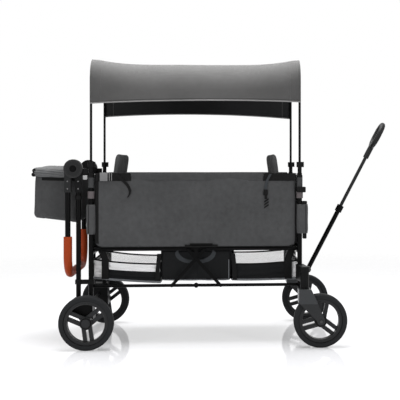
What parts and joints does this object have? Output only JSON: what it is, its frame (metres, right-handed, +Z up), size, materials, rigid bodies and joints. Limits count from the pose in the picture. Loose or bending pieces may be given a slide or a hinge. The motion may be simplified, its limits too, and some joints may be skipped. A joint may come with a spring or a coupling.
{
  "type": "stroller wagon",
  "caption": "Folding stroller wagon with facing seats, a flat canopy, a folding push handle, a telescoping pull handle, swivel front casters, baskets and a rear bag.",
  "frame": {"origin": "on the ground midway between the rear and front posts, on the centre line", "axes": "+X forward to the pull handle, +Y to the far side, +Z up"},
  "size_m": [1.4899, 0.76, 1.1718],
  "materials": {
    "frame_tube": "satin black powder coat",
    "moulding": "fine-grained moulded plastic",
    "axle_steel": "brushed",
    "wheel_rim": "moulded plastic",
    "wheel_tyre": "matte foam tyre",
    "leather_grip": "stitched rust-orange leather",
    "tub_fabric": "woven melange",
    "floor_fabric": "woven",
    "seat_fabric": "quilted fabric",
    "basket_fabric": "black woven and mesh",
    "bag_fabric": "woven melange",
    "canopy_fabric": "plain weave"
  },
  "bodies": {
    "rear_frame": {"rear_posts": "frame_tube", "rear_post_fittings": "moulding", "handle_uprights": "frame_tube", "handle_hinge_housings": "moulding", "upright_links": "moulding", "rear_crossbars": "frame_tube", "rear_wheel_brackets": "moulding", "rear_axles": "axle_steel", "rear_panel": "tub_fabric", "rear_post_covers": "tub_fabric", "side_panel_near": "tub_fabric", "side_panel_far": "tub_fabric", "floor_mat": "floor_fabric", "seat_pads": "seat_fabric", "basket_rear": "basket_fabric", "basket_front": "basket_fabric", "centre_pouch": "basket_fabric", "bag_body": "bag_fabric"},
    "push_handle": {"handle_tube": "frame_tube", "handle_grip": "leather_grip", "handle_hinge_covers": "moulding"},
    "button_near": {"hinge_button_near": "moulding"},
    "button_far": {"hinge_button_far": "moulding"},
    "bag_lid": {"bag_lid": "bag_fabric"},
    "brake": {"brake_bar": "moulding"},
    "wheel_rear_near": {"tyre_rear_near": "wheel_tyre", "rim_rear_near": "wheel_rim"},
    "wheel_rear_far": {"tyre_rear_far": "wheel_tyre", "rim_rear_far": "wheel_rim"},
    "rear_seat_back": {"rear_seat_back": "seat_fabric"},
    "canopy_rear": {"canopy_bow_rear": "frame_tube", "canopy_cloth": "canopy_fabric"},
    "upper_rail_rear": {"upper_rail_rear": "frame_tube"},
    "upper_rail_front": {"upper_rail_front": "frame_tube"},
    "lower_rail_rear": {"lower_rail_rear": "frame_tube"},
    "lower_rail_front": {"lower_rail_front": "frame_tube"},
    "centre_links": {"centre_links": "frame_tube"},
    "brace_rear": {"brace_rear": "frame_tube"},
    "brace_front": {"brace_front": "frame_tube"},
    "front_frame": {"front_posts": "frame_tube", "front_post_fittings": "moulding", "front_crossbars": "frame_tube", "caster_housings": "moulding", "front_panel": "tub_fabric", "front_post_covers": "tub_fabric", "pull_bracket": "moulding"},
    "front_seat_back": {"front_seat_back": "seat_fabric"},
    "canopy_front": {"canopy_bow_front": "frame_tube"},
    "caster_near": {"fork_near": "moulding", "front_axle_near": "axle_steel"},
    "caster_far": {"fork_far": "moulding", "front_axle_far": "axle_steel"},
    "wheel_front_near": {"tyre_front_near": "wheel_tyre", "rim_front_near": "wheel_rim"},
    "wheel_front_far": {"tyre_front_far": "wheel_tyre", "rim_front_far": "wheel_rim"},
    "pull_lower": {"pull_tube_lower": "frame_tube"},
    "pull_upper": {"pull_tube_upper": "frame_tube", "pull_grip": "moulding"}
  },
  "joints": [
    {"name": "fold", "type": "hinge", "parent": "rear_frame", "child": "upper_rail_rear", "pos_m": [-0.425, 0, 0.391], "axis": [0, -1, 0], "range_deg": [0, 65], "deforming": ["side_panel_near", "side_panel_far", "floor_mat", "seat_pads", "basket_rear", "basket_front", "centre_pouch", "canopy_cloth"]},
    {"name": "fold_lower_rear", "type": "hinge", "parent": "rear_frame", "child": "lower_rail_rear", "pos_m": [-0.425, 0, 0.239], "axis": [0, -1, 0], "range_deg": [0, 65]},
    {"name": "fold_upper_front", "type": "hinge", "parent": "upper_rail_rear", "child": "upper_rail_front", "pos_m": [0, 0, 0.391], "axis": [0, 1, 0], "range_deg": [0, 130]},
    {"name": "fold_front", "type": "hinge", "parent": "upper_rail_front", "child": "front_frame", "pos_m": [0.425, 0, 0.391], "axis": [0, -1, 0], "range_deg": [0, 65]},
    {"name": "fold_lower_front", "type": "hinge", "parent": "front_frame", "child": "lower_rail_front", "pos_m": [0.425, 0, 0.239], "axis": [0, 1, 0], "range_deg": [0, 65]},
    {"name": "fold_links", "type": "hinge", "parent": "upper_rail_rear", "child": "centre_links", "pos_m": [0, 0, 0.391], "axis": [0, 1, 0], "range_deg": [0, 65]},
    {"name": "fold_brace_rear", "type": "hinge", "parent": "lower_rail_rear", "child": "brace_rear", "pos_m": [-0.1, 0, 0.239], "axis": [0, 1, 0], "range_deg": [0, 40]},
    {"name": "fold_brace_front", "type": "hinge", "parent": "lower_rail_front", "child": "brace_front", "pos_m": [0.1, 0, 0.239], "axis": [0, -1, 0], "range_deg": [0, 40]},
    {"name": "wheel_rear_near_spin", "type": "hinge", "parent": "rear_frame", "child": "wheel_rear_near", "pos_m": [-0.431, -0.34, 0.108], "axis": [0, 1, 0], "continuous": true},
    {"name": "caster_near_swivel", "type": "hinge", "parent": "front_frame", "child": "caster_near", "pos_m": [0.436, -0.34, 0.24], "axis": [0, 0, 1], "continuous": true},
    {"name": "wheel_front_near_spin", "type": "hinge", "parent": "caster_near", "child": "wheel_front_near", "pos_m": [0.5, -0.34, 0.108], "axis": [0, 1, 0], "continuous": true},
    {"name": "wheel_rear_far_spin", "type": "hinge", "parent": "rear_frame", "child": "wheel_rear_far", "pos_m": [-0.431, 0.34, 0.108], "axis": [0, 1, 0], "continuous": true},
    {"name": "caster_far_swivel", "type": "hinge", "parent": "front_frame", "child": "caster_far", "pos_m": [0.436, 0.34, 0.24], "axis": [0, 0, 1], "continuous": true},
    {"name": "wheel_front_far_spin", "type": "hinge", "parent": "caster_far", "child": "wheel_front_far", "pos_m": [0.5, 0.34, 0.108], "axis": [0, 1, 0], "continuous": true},
    {"name": "push_handle_fold", "type": "hinge", "parent": "rear_frame", "child": "push_handle", "pos_m": [-0.496, 0, 0.718], "axis": [0, 1, 0], "range_deg": [0, 170]},
    {"name": "button_near_press", "type": "slide", "parent": "push_handle", "child": "button_near", "axis": [0, 1, 0], "range_m": [0, 0.004], "stiffness_N_per_m": 600},
    {"name": "button_far_press", "type": "slide", "parent": "push_handle", "child": "button_far", "axis": [0, -1, 0], "range_m": [0, 0.004], "stiffness_N_per_m": 600},
    {"name": "bag_lid_hinge", "type": "hinge", "parent": "rear_frame", "child": "bag_lid", "pos_m": [-0.486, 0, 0.715], "axis": [0, 1, 0], "range_deg": [0, 100]},
    {"name": "brake_pedal", "type": "hinge", "parent": "rear_frame", "child": "brake", "pos_m": [-0.45, 0, 0.15], "axis": [0, -1, 0], "range_deg": [0, 20]},
    {"name": "pull_tilt", "type": "hinge", "parent": "front_frame", "child": "pull_lower", "pos_m": [0.481, 0, 0.277], "axis": [0, 1, 0], "range_deg": [-27, 55]},
    {"name": "pull_slide", "type": "slide", "parent": "pull_lower", "child": "pull_upper", "axis": [0.4633, 0, 0.8862], "range_m": [-0.2, 0]},
    {"name": "canopy_slide", "type": "slide", "parent": "rear_frame", "child": "canopy_rear", "axis": [0, 0, 1], "range_m": [-0.15, 0]},
    {"name": "canopy_front_slide", "type": "slide", "parent": "front_frame", "child": "canopy_front", "axis": [0, 0, 1], "range_m": [-0.15, 0]},
    {"name": "rear_seat_recline", "type": "hinge", "parent": "rear_frame", "child": "rear_seat_back", "pos_m": [-0.366, 0, 0.446], "axis": [0, -1, 0], "range_deg": [0, 8]},
    {"name": "front_seat_recline", "type": "hinge", "parent": "front_frame", "child": "front_seat_back", "pos_m": [0.366, 0, 0.446], "axis": [0, 1, 0], "range_deg": [0, 8]}
  ],
  "couplings": [
    {"joint": "fold_lower_rear", "follows": "fold", "ratio": 1},
    {"joint": "fold_upper_front", "follows": "fold", "ratio": 2},
    {"joint": "fold_front", "follows": "fold", "ratio": 1},
    {"joint": "fold_lower_front", "follows": "fold", "ratio": 1},
    {"joint": "fold_links", "follows": "fold", "ratio": 1},
    {"joint": "fold_brace_rear", "follows": "fold", "ratio": 0.603},
    {"joint": "fold_brace_front", "follows": "fold", "ratio": 0.603},
    {"joint": "canopy_front_slide", "follows": "canopy_slide", "ratio": 1}
  ]
}
